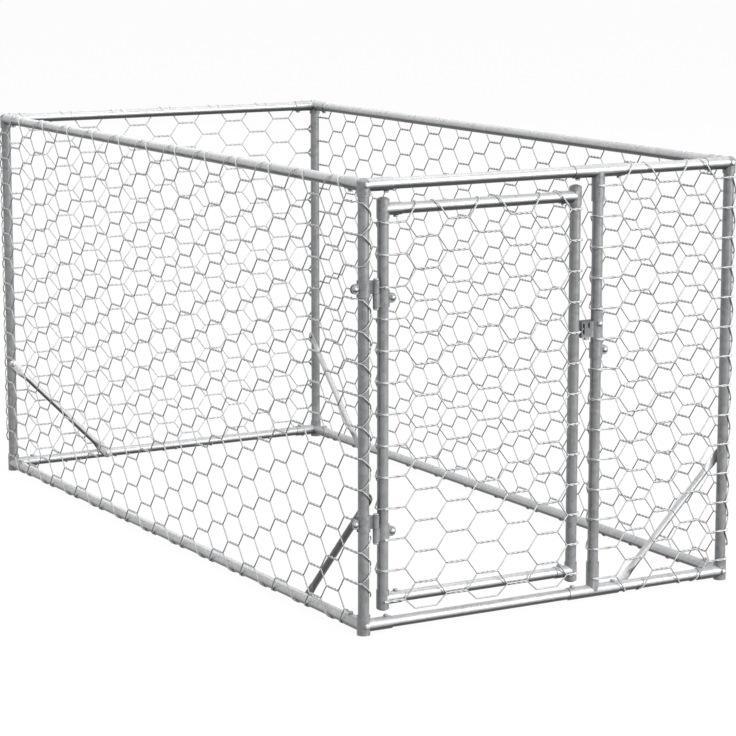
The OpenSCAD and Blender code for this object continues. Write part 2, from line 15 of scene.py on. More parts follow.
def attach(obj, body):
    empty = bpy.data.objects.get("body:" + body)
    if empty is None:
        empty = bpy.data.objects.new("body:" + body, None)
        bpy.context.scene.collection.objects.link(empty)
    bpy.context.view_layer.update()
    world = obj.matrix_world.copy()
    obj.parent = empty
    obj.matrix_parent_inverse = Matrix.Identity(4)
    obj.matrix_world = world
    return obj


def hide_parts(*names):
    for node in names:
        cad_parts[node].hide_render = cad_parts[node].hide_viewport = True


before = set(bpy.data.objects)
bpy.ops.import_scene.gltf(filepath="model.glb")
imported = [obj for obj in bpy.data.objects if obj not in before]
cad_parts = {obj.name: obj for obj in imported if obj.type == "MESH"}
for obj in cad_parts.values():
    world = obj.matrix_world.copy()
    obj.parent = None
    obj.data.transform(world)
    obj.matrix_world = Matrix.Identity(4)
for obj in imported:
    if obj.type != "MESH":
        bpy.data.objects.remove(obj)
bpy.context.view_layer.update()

log = logging.getLogger("kennel_run")

Piece = bpy.types.Object
Finish = bpy.types.Material
Pair = tuple[float, float]
Triple = tuple[float, float, float]
Ends = tuple[bool, bool]
Node = bpy.types.Node
Socket = bpy.types.NodeSocket
Tree = bpy.types.NodeTree

MM = 0.001
FULL_TURN = 2 * math.pi

# Tube axes and heights of the kennel, in millimetres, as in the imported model
POST_X, POST_Y = 485, 985
LATCH_POST_X = 120
HINGE_STILE_X, LATCH_STILE_X = -437, 59
LOW_Z, HIGH_Z = 20, 985
DOOR_LOW_Z, DOOR_TOP_Z = 75, 931
HINGE_HIGH_Z, HINGE_LOW_Z = 751, 237
KNUCKLE_H, BAND_H = 30, 36
TUBE_R, SLEEVE_R, COLLAR_R, DOOR_SLEEVE_R = 12.5, 14.5, 15.0, 13.9
SCREW_AT, DOOR_SCREW_AT = 56, 32
EAR_BOLT, EAR_FACE = 22.1, 4.5
BRACE_LEG, BRACE_OUT = 282, 14.1
SADDLE_LOW_Z, SADDLE_TOP_Z = 597, 671
HOUSING_LOW_Z, HOUSING_TOP_Z = 608, 652
BRACKET_BOLT_Z, BRACKET_FRONT = 641, 15.1
# Heights of the hinge bands on the corner post and on the door's stile
POST_BANDS = [(z + KNUCKLE_H - BAND_H, z + KNUCKLE_H) for z in (HINGE_LOW_Z, HINGE_HIGH_Z)]
STILE_BANDS = [(z - KNUCKLE_H, z - KNUCKLE_H + BAND_H) for z in (HINGE_LOW_Z, HINGE_HIGH_Z)]

# Colours of the splashed soil, of the painted shade on undersides and of plain white
SOIL, UNDERSIDE_SHADE, WHITE = "#6f6a62", "#2c2d2e", "#ffffff"
# Shares of crystal spangle, bloom, drawn streaks and splashed soil in the zinc's tone
SPANGLE_SHARE, BLOOM_SHARE, STREAK_SHARE, SOIL_SHARE = 0.35, 0.75, 0.35, 0.06


class Body(Enum):
    """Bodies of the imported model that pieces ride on."""

    FRAME = "frame"
    DOOR = "door"
    LATCH = "latch_bolt"


class Slot(Enum):
    """Material slots of the record."""

    TUBE = "galvanised_tube"
    FITTING = "zinc_fittings"
    HARDWARE = "bright_hardware"
    NETTING = "wire_netting"


class Grain(Enum):
    """Direction in which a tube was drawn, as the stretch of its pattern along X, Y and Z."""

    ALONG_X = (0.04, 1.0, 1.0)
    ALONG_Y = (1.0, 0.04, 1.0)
    UPRIGHT = (1.0, 1.0, 0.04)
    NONE = (1.0, 1.0, 1.0)


def linear(text: str) -> tuple[float, float, float, float]:
    """Turn an sRGB hex colour into linear RGBA.

    Args:
        text: Colour as #rrggbb.

    Returns:
        Linear red, green, blue and an alpha of 1.
    """
    parts = [int(text[i:i + 2], 16) / 255 for i in (1, 3, 5)]
    flat = [c / 12.92 if c <= 0.04045 else ((c + 0.055) / 1.055) ** 2.4 for c in parts]
    return (flat[0], flat[1], flat[2], 1.0)


def add_node(tree: Tree, kind: str, inputs: dict | None = None, **settings: object) -> Node:
    """Add a shader node with its settings, values and links.

    Args:
        tree: Node tree that takes the node.
        kind: Blender's name of the node type, without ShaderNode in front.
        inputs: Input sockets by name or index, each with a value or the output that feeds it.
        settings: Properties of the node.

    Returns:
        The new node.
    """
    made = tree.nodes.new(f"ShaderNode{kind}")
    for name, value in settings.items():
        setattr(made, name, value)
    for name, value in (inputs or {}).items():
        if isinstance(value, Socket):
            tree.links.new(value, made.inputs[name])
        else:
            made.inputs[name].default_value = value
    return made


@dataclass(frozen=True)
class ZincFinish:
    """Zinc-coated steel: a dull grey metal skin with crystal spangle, drawn streaks and pale bloom.

    The spangle gives cells of slightly different grey and gloss, the streaks follow the way the tube
    was drawn, and the bloom is the thin white patina that new zinc grows outdoors. Undersides get a
    painted shade: a dark colour mixed in where the surface faces down.
    """

    name: str
    dark: str
    light: str
    smooth: float  # roughness of the darkest zinc
    rough: float  # and of the lightest
    relief_mm: float
    underside_shade: float = 0.0  # share of painted shade on undersides
    spangle_mm: float = 11.0
    streak_mm: float = 5.0
    metallic: float = 0.2
    bloom_mm: float = 140.0
    soil_mm: float = 90.0
    pit_mm: float = 2.5

    def material(self, grain: Grain = Grain.NONE) -> Finish:
        """Build the node material for one drawing direction.

        Args:
            grain: Direction in which the streaks run.

        Returns:
            The material.
        """
        made = bpy.data.materials.new(f"{self.name}_{grain.name.lower()}")
        made.use_nodes = True
        tree = made.node_tree
        place = add_node(tree, "TexCoord").outputs["Object"]
        drawn = add_node(tree, "Mapping", {"Vector": place, "Scale": grain.value}).outputs["Vector"]
        spangle = add_node(tree, "TexVoronoi", {"Vector": place, "Scale": 1 / (self.spangle_mm * MM)})
        cell = add_node(tree, "SeparateColor", {"Color": spangle.outputs["Color"]}).outputs
        bloom, streak, pits = (
            add_node(tree, "TexNoise", {"Vector": vector, "Scale": 1 / (size * MM), "Detail": detail,
                                        "Roughness": rough}).outputs["Fac"]
            for vector, size, detail, rough in ((place, self.bloom_mm, 4.0, 0.6),
                                                (drawn, self.streak_mm, 3.0, 0.5),
                                                (drawn, self.pit_mm, 2.0, 0.5)))
        tone: Socket | float = 0.0
        for part, share in ((cell["Red"], SPANGLE_SHARE), (bloom, BLOOM_SHARE), (streak, STREAK_SHARE)):
            tone = add_node(tree, "Math", {0: part, 1: share, 2: tone}, operation="MULTIPLY_ADD",
                            use_clamp=part == streak).outputs[0]
        spread = add_node(tree, "MapRange", {"Value": tone, "From Min": 0.4, "From Max": 1.0})
        height = add_node(tree, "SeparateXYZ", {"Vector": place}).outputs["Z"]
        splash = add_node(tree, "MapRange", {"Value": height, "From Min": self.soil_mm * MM,
                                             "From Max": 0.0, "To Max": SOIL_SHARE})
        soil = add_node(tree, "Math", {0: splash.outputs["Result"], 1: bloom}, operation="MULTIPLY")
        # Painted shade: the dark colour is mixed in where the surface faces down
        normal = add_node(tree, "NewGeometry").outputs["Normal"]
        facing = add_node(tree, "SeparateXYZ", {"Vector": normal}).outputs["Z"]
        painted_shade = add_node(tree, "MapRange", {"Value": facing, "From Min": 0.08, "From Max": -0.4,
                                            "To Max": self.underside_shade}, interpolation_type="SMOOTHSTEP")
        skin: Socket | tuple = linear(self.dark)
        for layer, colour in ((spread, self.light), (soil, SOIL), (painted_shade, UNDERSIDE_SHADE)):
            skin = add_node(tree, "Mix", {0: layer.outputs[0], 6: skin, 7: linear(colour)},
                            data_type="RGBA").outputs[2]
        gloss = add_node(tree, "MapRange", {"Value": tone, "From Min": 0.3, "From Max": 1.0,
                                            "To Min": self.smooth, "To Max": self.rough})
        relief = add_node(tree, "Math", {0: cell["Green"], 1: 0.4, 2: pits}, operation="MULTIPLY_ADD")
        bump = add_node(tree, "Bump", {"Strength": 0.35, "Distance": self.relief_mm * MM,
                                       "Height": relief.outputs[0]})
        shader = tree.nodes["Principled BSDF"].inputs
        shader["Metallic"].default_value = self.metallic
        tree.links.new(skin, shader["Base Color"])
        tree.links.new(gloss.outputs["Result"], shader["Roughness"])
        tree.links.new(bump.outputs["Normal"], shader["Normal"])
        return made


# Strip-galvanised steel tube, roll-formed and drawn: satin grey with long faint streaks
POST_ZINC = ZincFinish("strip_galvanised_steel_posts", "#8a8c8e", "#adafb1", 0.24, 0.36, 0.12)
# The same tube on the rails, painted lighter to stand for the light on their tops, with painted shade
# on undersides
LIT_RAIL_ZINC = ZincFinish("strip_galvanised_steel_rails", "#cfd1d3", "#e6e8e9", 0.22, 0.34, 0.02, 0.95)
# Brace tube painted nearly white, a lighter copy that stands for the light on a lit brace, with painted
# shade underneath
LIT_BRACE_ZINC = ZincFinish("lit_galvanised_steel_braces", "#dcdee0", "#f0f1f1", 0.22, 0.34, 0.02, 0.95,
                        metallic=0.15)
# The same brace painted dark grey, as painted shade on a brace whose side faces away from the light
SHADED_BRACE_ZINC = ZincFinish("shaded_galvanised_brace", "#66686a", "#828486", 0.30, 0.44, 0.05, 0.3)
# Hot-dip galvanised malleable fittings: duller and darker, with a coarse orange-peel skin and painted
# shade on undersides
CAST_ZINC = ZincFinish("hot_dip_galvanised_fittings", "#8c8e90", "#b2b4b6", 0.28, 0.44, 0.3, 0.9, 7, 6)
# Drawn sleeves of those fittings: painted as light as the rails that they hold to stand for the light
# on them, with painted shade on undersides and a coarser skin
LIT_SLEEVE_ZINC = ZincFinish("galvanised_drawn_sleeves", "#c2c4c6", "#dedfe0", 0.26, 0.40, 0.1, 0.95, 7, 6)
# Top and windows of the latch housing: painted dark grey, as painted shade in the windows' hollows and
# the same dark on the top
SHADED_RECESS_ZINC = ZincFinish("shaded_galvanised_recess", "#353637", "#58595b", 0.42, 0.58, 0.3, 0, 5, 6, 0.1)
# Pressed-in face of the latch housing: the same coat painted darker, as painted shade in the recess
SHADED_PANEL_ZINC = ZincFinish("shaded_galvanised_panel", "#696b6d", "#85878a", 0.36, 0.5, 0.3, 0, 7, 6, 0.15)
# Bright zinc-plated fasteners: cleaner and smoother than the fittings, and lighter, partly their own
# plating and partly painted light on their tops, with painted shade on undersides
PLATED_ZINC = ZincFinish("zinc_plated_steel", "#a6a8aa", "#d6d8d9", 0.20, 0.32, 0.05, 0.92, 4, 2, 0.5)
# Galvanised netting wire: pale satin zinc with small dull runs and painted shade on its undersides
WIRE_ZINC = ZincFinish("galvanised_wire", "#c6c8ca", "#e2e4e5", 0.30, 0.44, 0.05, 0.58, 9, 14)
# The same wire painted paler where it lies on rails and the highlighted tubes, as a painted highlight,
# and all over the paler rear sheet
WRAP_ZINC = ZincFinish("galvanised_wire_wraps", "#e4e6e7", "#f4f5f5", 0.24, 0.36, 0.05, 0, 9, 14, 0.1)


def set_mode(mode: str) -> None:
    """Switch the active piece to edit or object mode."""
    bpy.ops.object.mode_set(mode=mode)


def deselect() -> None:
    """Leave nothing selected, so that an operator acts on new pieces only."""
    bpy.ops.object.select_all(action="DESELECT")


def active_only(piece: Piece) -> None:
    """Select one piece alone and make it active."""
    deselect()
    piece.select_set(True)
    bpy.context.view_layer.objects.active = piece


def apply_modifier(piece: Piece, kind: str, **settings: object) -> None:
    """Add a modifier with its settings and apply it.

    Args:
        piece: Object to change.
        kind: Blender's modifier type.
        settings: Properties of the modifier.
    """
    active_only(piece)
    added = piece.modifiers.new(kind.lower(), kind)
    for name, value in settings.items():
        setattr(added, name, value)
    bpy.ops.object.modifier_apply(modifier=added.name)


def round_edges(piece: Piece, width_mm: float, sharper: float) -> None:
    """Bevel the edges of a piece that turn by more than an angle in degrees."""
    apply_modifier(piece, "BEVEL", width=width_mm * MM, segments=2, limit_method="ANGLE",
                   angle_limit=math.radians(sharper))


def smooth(piece: Piece, degrees: float) -> None:
    """Shade a piece smooth, but for the edges that turn by more than an angle."""
    active_only(piece)
    bpy.ops.object.shade_smooth_by_angle(angle=math.radians(degrees))


def add_object(name: str, data: bpy.types.ID) -> Piece:
    """Put a new object with its data into the scene."""
    made = bpy.data.objects.new(name, data)
    bpy.context.scene.collection.objects.link(made)
    return made


def copy_piece(piece: Piece, name: str, move: Matrix) -> Piece:
    """Copy a piece and its mesh, and put a move into that mesh.

    Args:
        piece: Object to copy.
        name: Name of the copy.
        move: Where the copy goes.

    Returns:
        The copy.
    """
    made = add_object(name, piece.data.copy())
    made.data.transform(move)
    return made


def join_pieces(pieces: list[Piece], name: str) -> Piece:
    """Join pieces into one object.

    Args:
        pieces: Objects to join.
        name: Name of the result.

    Returns:
        The joined object.
    """
    deselect()
    for piece in pieces:
        piece.select_set(True)
    bpy.context.view_layer.objects.active = pieces[0]
    if len(pieces) > 1:
        bpy.ops.object.join()
    pieces[0].name = name
    pieces[0].data.name = name
    return pieces[0]


def select_verts(piece: Piece, chosen: Callable[[Vector], bool]) -> None:
    """Select, in edit mode, the vertices whose place passes a test.

    Args:
        piece: Object in edit mode.
        chosen: Test of a vertex place in metres.
    """
    bpy.ops.mesh.select_mode(type="VERT")
    mesh = bmesh.from_edit_mesh(piece.data)
    for vert in mesh.verts:
        vert.select_set(bool(chosen(vert.co)))
    mesh.select_flush(True)
    bmesh.update_edit_mesh(piece.data)


def trace_path(points: list[Vector]) -> Piece:
    """Draw a path by extruding one vertex from point to point.

    Args:
        points: Places along the path in metres.

    Returns:
        An object of edges alone.
    """
    deselect()
    bpy.ops.mesh.primitive_plane_add(size=MM)
    path = bpy.context.object
    set_mode("EDIT")
    bpy.ops.mesh.merge(type="CENTER")
    bpy.ops.transform.translate(value=points[0])
    for before, after in zip(points, points[1:]):
        bpy.ops.mesh.extrude_vertices_move(TRANSFORM_OT_translate={"value": after - before})
    set_mode("OBJECT")
    return path


def draw_wire(points: list[Vector], radius_mm: float) -> Piece:
    """Make a round wire along a path.

    Args:
        points: Places along its centre line in metres.
        radius_mm: Radius of the wire.

    Returns:
        The wire as a smooth mesh.
    """
    wire = trace_path(points)
    active_only(wire)
    bpy.ops.object.convert(target="CURVE")
    wire.data.bevel_depth = radius_mm * MM
    wire.data.bevel_resolution = 1
    wire.data.use_fill_caps = True
    bpy.ops.object.convert(target="MESH")
    bpy.ops.object.shade_smooth()
    return wire


def lathe(profile: list[Pair], steps: int) -> Piece:
    """Turn a profile round the Z axis, as on a lathe.

    Args:
        profile: Radius and height of each profile point in millimetres.
        steps: Number of sides.

    Returns:
        The turned piece at the origin.
    """
    turned = trace_path([Vector((r * MM, 0, z * MM)) for r, z in profile])
    active_only(turned)
    set_mode("EDIT")
    bpy.ops.mesh.select_all(action="SELECT")
    bpy.ops.mesh.spin(steps=steps, angle=FULL_TURN, center=(0, 0, 0), axis=(0, 0, 1))
    bpy.ops.mesh.select_all(action="SELECT")
    bpy.ops.mesh.remove_doubles(threshold=0.01 * MM)
    bpy.ops.mesh.normals_make_consistent(inside=False)
    set_mode("OBJECT")
    smooth(turned, 35)
    return turned


def coat(piece: Piece, *finishes: Finish) -> None:
    """Give a piece its finishes, the first of them all over."""
    piece.data.materials.clear()
    for finish in finishes:
        piece.data.materials.append(finish)


@dataclass
class SubAssembly:
    """Piece of the kennel that replaces one CAD node and moves with one body."""

    node: str
    body: Body
    slot: ClassVar[Slot]

    def build(self) -> Piece:
        """Model the piece in its place."""
        raise NotImplementedError

    def dress(self, made: Piece, *finishes: Finish) -> None:
        """Give the built piece its finishes."""
        coat(made, *finishes)

    def install(self, *finishes: Finish) -> None:
        """Build the piece, dress it and put it in its node's place.

        Args:
            finishes: What it is dressed with, the general finish first.
        """
        made = self.build()
        self.dress(made, *finishes)
        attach(made, self.body.value)
        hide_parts(self.node)
        log.info("%s: %d faces on %s", made.name, len(made.data.polygons), self.body.value)


@dataclass
class Border:
    """Upright edge of a netting sheet, where its wires go round a tube."""

    tube: float  # place of the tube's axis along the sheet
    reach: float = 30.0  # of the twisted edge past that axis
    hug: float = 15.6  # radius of the wires on the tube's far side
    run: float = 24.0  # of the slants that close the last meshes
    stop: float = 10.0  # past the axis, of a wire with a fitting in its way
    painted_highlight: bool = False  # whether the wires on the tube get a painted highlight
    keep_out: list[Pair] = field(default_factory=list)  # heights that fittings take up
    clear: float = 3.0  # room between a wire and those fittings

    def takes(self, low: float, high: float) -> bool:
        """Say whether a wire goes round the tube here, with no fitting in its way."""
        return not any(low < top + self.clear and high > bottom - self.clear
                       for bottom, top in self.keep_out)

    def paints_highlight(self, along: float) -> bool:
        """Say whether a place along the sheet is on a tube where the wires get a painted highlight."""
        return self.painted_highlight and abs(along - self.tube) < TUBE_R


@dataclass
class NettingSheet(SubAssembly):
    """Sheet of hexagonal wire netting on one side of the kennel.

    The wires run across the sheet in pairs. Each wire twists twice round its lower neighbour, slants
    over to the next row, twists round its upper neighbour and slants back. Where there is no next row
    the slants go on round the rail and end behind it. The sheet's own X runs along it to the right as
    seen from outside, and -Y points outwards.
    """

    name: str
    turn: float  # of the sheet's own frame about Z, in degrees
    stand: float  # of its tube axes from the kennel's middle
    left: Border
    right: Border
    first: float  # middle of its first twisted edge
    span: float  # from there to the middle of its last
    columns: int
    even_z: float  # height of one even row of twisted edges
    low: float = 10.0  # height at which the wire starts
    high: float = 988.0  # and ends
    low_rail: float = LOW_Z
    high_rail: float = HIGH_Z
    hangs: bool = False  # whether the sheet goes on below its low rail
    hang_low: float = 0.0  # and down to where
    row: float = 69.35  # height of a mesh
    run: float = 24.0  # length of a slant along the sheet
    wire_r: float = 1.65
    turns: int = 2
    twist_steps: int = 12
    wrap_steps: int = 9  # stretches of a slant that goes round a tube
    slant_rise: float = 5.0  # least rise of a slant
    ease_angle: float = 60.0  # over which a wire comes in from skin to hug
    tip_lean: float = 2.0  # of a slant's end, along the sheet
    skin: float = 18.0  # radius of the wires on a tube's outer side
    rail_hug: float = 13.5  # on the far side of a rail
    sleeve_hug: float = 15.5  # on the far side of a sleeve
    sleeve_end: float = 74.0  # distance of a sleeve's end from its post
    slant_past: float = 14.0  # where a slant turns upright, past a rail's axis
    wrap: float = 46.0  # and where it ends
    pale: bool = False  # whether all the wire takes the paler finish of the highlighted wraps
    slot: ClassVar[Slot] = Slot.NETTING

    @property
    def pitch(self) -> float:
        """Distance from one column of twisted edges to the next."""
        return self.span / self.columns

    @property
    def edge(self) -> float:
        """Length of a twisted edge."""
        return self.pitch - self.run

    def around(self, past: float, out: float, hug: float) -> Pair:
        """Bend a length round a tube.

        Args:
            past: Length past the tube's axis.
            out: Distance outwards from the sheet's middle.
            hug: Radius on the far side of the tube.

        Returns:
            Distance past the axis and distance in front of it.
        """
        if past <= 0:
            return past, self.skin + out
        angle = past / self.skin
        ease = min(1.0, angle / math.radians(self.ease_angle))
        reach = self.skin + (hug - self.skin) * ease * ease * (3 - 2 * ease) + out
        return reach * math.sin(angle), reach * math.cos(angle)

    def lay(self, along: float, out: float, up: float) -> Vector:
        """Put a point of the flat sheet in its place, bent round the border tubes.

        Args:
            along: Distance along the flat sheet in millimetres.
            out: Distance outwards from the sheet's middle.
            up: Height.

        Returns:
            The place in metres, in the sheet's own frame.
        """
        if up > self.high_rail or up < self.low_rail and not self.hangs:
            rail, way = (self.high_rail, 1) if up > self.high_rail else (self.low_rail, -1)
            from_tube = min(along - self.left.tube, self.right.tube - along)
            hug = self.rail_hug if from_tube > self.sleeve_end else self.sleeve_hug
            past, front = self.around(way * (up - rail), out, hug)
            return Vector((along, -front, rail + way * past)) * MM
        border, side = (self.left, -1) if along < self.left.tube else (self.right, 1)
        past, front = self.around(side * (along - border.tube), out, border.hug)
        return Vector((border.tube + side * past, -front, up)) * MM

    def wire_paths(self, level: float, sign: int, ends: Ends, tied: Ends) -> list[list[Vector]]:
        """Follow one wire from border to border.

        Args:
            level: Height of the wire's even row.
            sign: 1 for the wire that slants up from its even row, -1 for the one that slants down.
            ends: Whether the wire goes round the tube at its left and right end.
            tied: Whether the even and the odd columns have no edge, as their slants go round a rail.

        Returns:
            Places along the wire, in one path or in one for each stretch between wraps.
        """
        paths: list[list[Triple]] = [[]]
        tilt = self.row / 2 - self.wire_r
        for column in range(self.columns + 1):
            odd = column % 2
            start = self.first + column * self.pitch - self.edge / 2
            stop = start + self.edge
            facing = -sign if odd else sign
            centre = max(level + sign * self.row / 2 * odd, self.hang_low)
            if tied[odd]:
                rail = self.high_rail if facing < 0 else self.low_rail
                drop = abs(centre + facing * self.row / 2 - rail) + self.slant_past
                ahead = drop / self.row * 2 * self.run - self.run
                turned, tip = (rail - facing * past for past in (self.slant_past, self.wrap))
                paths[-1] += [(start + ahead, 0.0, turned), (start + ahead + self.tip_lean, 0.0, tip)]
                paths.append([(stop - ahead - self.tip_lean, 0.0, tip), (stop - ahead, 0.0, turned)])
                continue
            if column == 0:
                start = self.left.tube - self.left.reach
                if ends[0]:
                    paths[-1].append((start - self.left.run, 0.0, centre + facing * tilt))
            if column == self.columns:
                stop = self.right.tube + self.right.reach
            twist_r = facing * self.wire_r if centre > self.hang_low else 0.0
            for step in range(self.twist_steps + 1):
                share = step / self.twist_steps
                angle = FULL_TURN * self.turns * share
                paths[-1].append((start + (stop - start) * share, twist_r * math.sin(angle),
                                  centre + twist_r * math.cos(angle)))
            if column == self.columns and ends[1]:
                paths[-1].append((stop + self.right.run, 0.0, centre + facing * tilt))
        if not ends[0]:
            paths[0] = [p for p in paths[0] if p[0] > self.left.tube - self.left.stop]
        if not ends[1]:
            paths[-1] = [p for p in paths[-1] if p[0] < self.right.tube + self.right.stop]
        return [self.bend(path) for path in paths if len(path) > 1]

    def bend(self, flat: list[Triple]) -> list[Vector]:
        """Lay a flat path, with extra points on the slants that go round a tube.

        Args:
            flat: Points of the flat sheet in millimetres.

        Returns:
            Their places in metres, with the extra ones.
        """
        points: list[Vector] = []
        for before, after in zip(flat, flat[1:]):
            near, far = sorted((before[0], after[0]))
            low, high = sorted((before[2], after[2]))
            wrapped = (near < self.left.tube or far > self.right.tube
                       or low < self.low_rail or high > self.high_rail)
            steps = self.wrap_steps if wrapped and high - low > self.slant_rise else 1
            for step in range(steps):
                share = step / steps
                points.append(self.lay(*(a + (b - a) * share for a, b in zip(before, after))))
        points.append(self.lay(*flat[-1]))
        return points

    def rows(self) -> list[tuple[int, int]]:
        """List the wires of the sheet.

        Returns:
            Number of each wire's even row and the way it slants from there.
        """
        found = []
        spare = 2
        for index in range(-spare, int((self.high - self.low) / self.row) + 1 + spare):
            level = self.even_z + index * self.row
            for sign in (1, -1):
                reach = level + sign * self.row / 2
                if min(level, reach) >= self.low and max(level, reach) <= self.high:
                    found.append((index, sign))
        return found

    def tied_of(self, index: int, sign: int, wires: list[tuple[int, int]]) -> Ends:
        """Find where a wire has no partner to twist with, so that it goes round the rail.

        Args:
            index: Number of its even row.
            sign: The way it slants from there.
            wires: All wires of the sheet.

        Returns:
            Whether its even and its odd edges lack a partner.
        """
        even, odd = (index, -sign) not in wires, (index + sign, -sign) not in wires
        if self.hangs:
            even, odd = even and sign < 0, odd and sign > 0
        return even, odd

    def build(self) -> Piece:
        """Model each kind of wire once and copy it to its rows.

        Returns:
            The sheet in place.
        """
        masters: dict[tuple, tuple[Piece, float]] = {}
        wires = []
        turn = Matrix.Rotation(math.radians(self.turn), 4, "Z")
        listed = self.rows()
        for index, sign in listed:
            level = self.even_z + index * self.row
            heights = sorted((level, level + sign * self.row / 2))
            ends = (self.left.takes(*heights), self.right.takes(*heights))
            key = (sign, ends, self.tied_of(index, sign, listed))
            if key not in masters:
                drawn = [draw_wire(path, self.wire_r) for path in self.wire_paths(level, *key)]
                masters[key] = (join_pieces(drawn, f"{self.name}_wire"), level)
            master, drawn_at = masters[key]
            place = turn @ Matrix.Translation((0, -self.stand * MM, (level - drawn_at) * MM))
            wires.append(copy_piece(master, f"{self.name}_wire", place))
        for master, _ in masters.values():
            bpy.data.objects.remove(master)
        return join_pieces(wires, self.name)

    def dress(self, made: Piece, finish: Finish, wraps: Finish) -> None:
        """Give the wire its finish, and a paler one, a painted highlight, where it lies on rails and on
        highlighted tubes.

        Args:
            made: The sheet.
            finish: Finish of the wire.
            wraps: Paler finish of the wire on those tubes, a painted highlight.
        """
        coat(made, finish, wraps)
        low, high = self.low_rail, self.high_rail - self.rail_hug
        flat = Matrix.Rotation(math.radians(-self.turn), 3, "Z") @ Matrix.Scale(1 / MM, 3)
        # Wire on rails and on highlighted tubes takes the painted highlight
        for face in made.data.polygons:
            along, _, up = flat @ face.center
            on_rail = up > high or up < low and not self.hangs
            on_tube = self.left.paints_highlight(along) or self.right.paints_highlight(along)
            face.material_index = int(on_rail or on_tube)


def netting_sheets() -> list[NettingSheet]:
    """List the five sheets with their borders and the heights of their rows.

    Returns:
        The sheets of the left, right, rear and fixed front sides and of the door.
    """
    outer = 20.4  # hug that leaves room for the wires of the next sheet
    # Heights that connectors and tees take up on posts, and corners on the door's stiles
    caps = [(0, 46), (958, 1000)]
    tees = [(0, 90), (914, 1000)]
    door_caps = [(0, 97), (909, 1000)]
    latch = [(SADDLE_LOW_Z - BAND_H, SADDLE_TOP_Z)]
    housing = [(HOUSING_LOW_Z, HOUSING_TOP_Z)]
    return [
        NettingSheet("net_left", Body.FRAME, "netting_left", -90, POST_X,
                     Border(-POST_Y, reach=-8, keep_out=caps),
                     Border(POST_Y, reach=17, run=36, stop=-16, keep_out=POST_BANDS + caps),
                     first=-958, span=1916, columns=24, even_z=48.2),
        NettingSheet("net_right", Body.FRAME, "netting_right", 90, POST_X,
                     Border(-POST_Y, reach=6, hug=14.5, run=20, keep_out=caps),
                     Border(POST_Y, reach=12, hug=outer, keep_out=caps),
                     first=-958, span=1916, columns=25, even_z=82.9),
        NettingSheet("net_rear", Body.FRAME, "netting_rear", 180, POST_Y,
                     Border(-POST_X, reach=-12, keep_out=caps),
                     Border(POST_X, reach=-12, hug=outer, keep_out=caps),
                     first=-458, span=916, columns=12, even_z=82.9, pale=True),
        # The front posts and the door's stiles give their wires a painted highlight
        NettingSheet("net_side", Body.FRAME, "netting_front", 0, POST_Y,
                     Border(LATCH_POST_X, reach=42, painted_highlight=True, keep_out=latch + tees),
                     Border(POST_X, painted_highlight=True, keep_out=caps),
                     first=LATCH_POST_X + 28, span=309, columns=4, even_z=51.5),
        NettingSheet("net_door", Body.DOOR, "netting_door", 0, POST_Y,
                     Border(HINGE_STILE_X, reach=42, painted_highlight=True, keep_out=STILE_BANDS + door_caps),
                     Border(LATCH_STILE_X, reach=32, painted_highlight=True, keep_out=housing + door_caps),
                     first=HINGE_STILE_X + 20, span=480, columns=6, even_z=71, low=34, high=942,
                     low_rail=DOOR_LOW_Z, high_rail=DOOR_TOP_Z, hangs=True, hang_low=48, row=69.4),
    ]


@dataclass
class Brace(SubAssembly):
    """Diagonal corner brace: a tube whose ends are pressed flat and rounded."""

    name: str
    corner: Pair  # corner axes on the ground plan
    turn: float  # from the corner to the rail that the brace goes to
    in_shade: bool = False  # whether it takes the dark grey that paints the shade on its side
    sides: int = 24
    half_tube: float = 8.0
    half_width: float = 12.0
    half_flat: float = 1.5
    edge: float = 0.4
    slot: ClassVar[Slot] = Slot.TUBE

    def stations(self) -> list[Triple]:
        """List the sections of one half.

        Returns:
            Distance from the screw, half width and half thickness of each.
        """
        w, f, t = self.half_width, self.half_flat, self.half_tube
        tip = [(-w * math.cos(a), w * math.sin(a), f) for a in (0.2, 0.45, 0.75, 1.1, 1.57)]
        throat = [(31, w, f), (36, 0.97 * w, 1.35 * f), (42, 0.88 * w, 0.42 * t),
                  (49, 0.76 * w, 0.75 * t), (56, 0.69 * w, 0.95 * t), (62, t, t)]
        return tip + throat

    def build(self) -> Piece:
        """Extrude the tube from tip to tip, resizing each section on the way.

        Returns:
            The brace in place.
        """
        half = self.stations()
        length = BRACE_LEG * math.sqrt(2)
        sections = half + [(length - at, wide, thick) for at, wide, thick in reversed(half)]
        deselect()
        bpy.ops.mesh.primitive_circle_add(vertices=self.sides, radius=1.0, fill_type="NGON",
                                          rotation=(0, math.pi / 2, 0))
        brace = bpy.context.object
        bpy.ops.object.transform_apply(location=False, rotation=True, scale=False)
        set_mode("EDIT")
        first = sections[0]
        bpy.ops.transform.resize(value=(1, first[1] * MM, first[2] * MM))
        bpy.ops.transform.translate(value=(first[0] * MM, 0, 0))
        for before, after in zip(sections, sections[1:]):
            step = ((after[0] - before[0]) * MM, 0, 0)
            bpy.ops.mesh.extrude_region_move(TRANSFORM_OT_translate={"value": step})
            bpy.ops.transform.resize(value=(1, after[1] / before[1], after[2] / before[2]),
                                     center_override=(after[0] * MM, 0, 0))
        bpy.ops.mesh.select_all(action="SELECT")
        bpy.ops.mesh.normals_make_consistent(inside=False)
        set_mode("OBJECT")
        round_edges(brace, self.edge, 50)
        smooth(brace, 40)
        place = (Matrix.Translation((self.corner[0] * MM, self.corner[1] * MM, LOW_Z * MM))
                 @ Matrix.Rotation(math.radians(self.turn), 4, "Z")
                 @ Matrix.Translation((0, -BRACE_OUT * MM, BRACE_LEG * MM))
                 @ Matrix.Rotation(math.radians(45), 4, "Y")
                 @ Matrix.Rotation(math.radians(90), 4, "X"))
        brace.data.transform(place)
        brace.name = brace.data.name = self.name
        return brace


